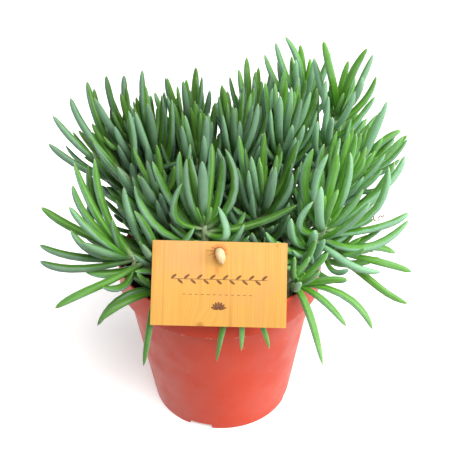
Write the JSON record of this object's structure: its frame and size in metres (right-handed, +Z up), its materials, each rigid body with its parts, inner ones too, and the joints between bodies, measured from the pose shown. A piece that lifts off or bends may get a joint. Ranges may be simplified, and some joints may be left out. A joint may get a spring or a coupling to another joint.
{
  "type": "potted senecio",
  "caption": "Finger-leaved blue-green senecio filling a terracotta-coloured plastic nursery pot, with a plain wooden card pegged over the front rim.",
  "frame": {"origin": "centre of the pot's foot, on the surface that the pot stands on", "axes": "+Z up along the pot's axis, -Y towards the wooden card, +X to the right of someone who faces the card"},
  "size_m": [0.2354, 0.2049, 0.262],
  "materials": {
    "terracotta_plastic": "satin moulded plastic",
    "potting_soil": "dark crumbly potting soil",
    "card_wood": "satin varnished veneer",
    "peg_wood": "bare pale wood",
    "blue_green_leaf": "fleshy leaf with a waxy bloom"
  },
  "bodies": {
    "root": {"label_card": "card_wood", "label_peg": "peg_wood", "pot": "terracotta_plastic", "shoot_back_centre_left": "blue_green_leaf", "shoot_back_centre_right": "blue_green_leaf", "shoot_back_left": "blue_green_leaf", "shoot_back_right": "blue_green_leaf", "shoot_centre_left": "blue_green_leaf", "shoot_centre_right": "blue_green_leaf", "shoot_front_centre": "blue_green_leaf", "shoot_front_left": "blue_green_leaf", "shoot_front_right": "blue_green_leaf", "shoot_high_right": "blue_green_leaf", "shoot_left_inner": "blue_green_leaf", "shoot_left_outer": "blue_green_leaf", "shoot_left_upper": "blue_green_leaf", "shoot_middle": "blue_green_leaf", "shoot_middle_left": "blue_green_leaf", "shoot_middle_right": "blue_green_leaf", "shoot_rear_centre_left": "blue_green_leaf", "shoot_rear_centre_right": "blue_green_leaf", "shoot_rear_left": "blue_green_leaf", "shoot_rear_right": "blue_green_leaf", "shoot_right": "blue_green_leaf", "shoot_right_low": "blue_green_leaf", "shoot_right_outer": "blue_green_leaf", "shoot_rim_front": "blue_green_leaf", "shoot_rim_left": "blue_green_leaf", "shoot_rim_right": "blue_green_leaf", "shoot_side_left": "blue_green_leaf", "soil": "potting_soil"}
  },
  "joints": []
}
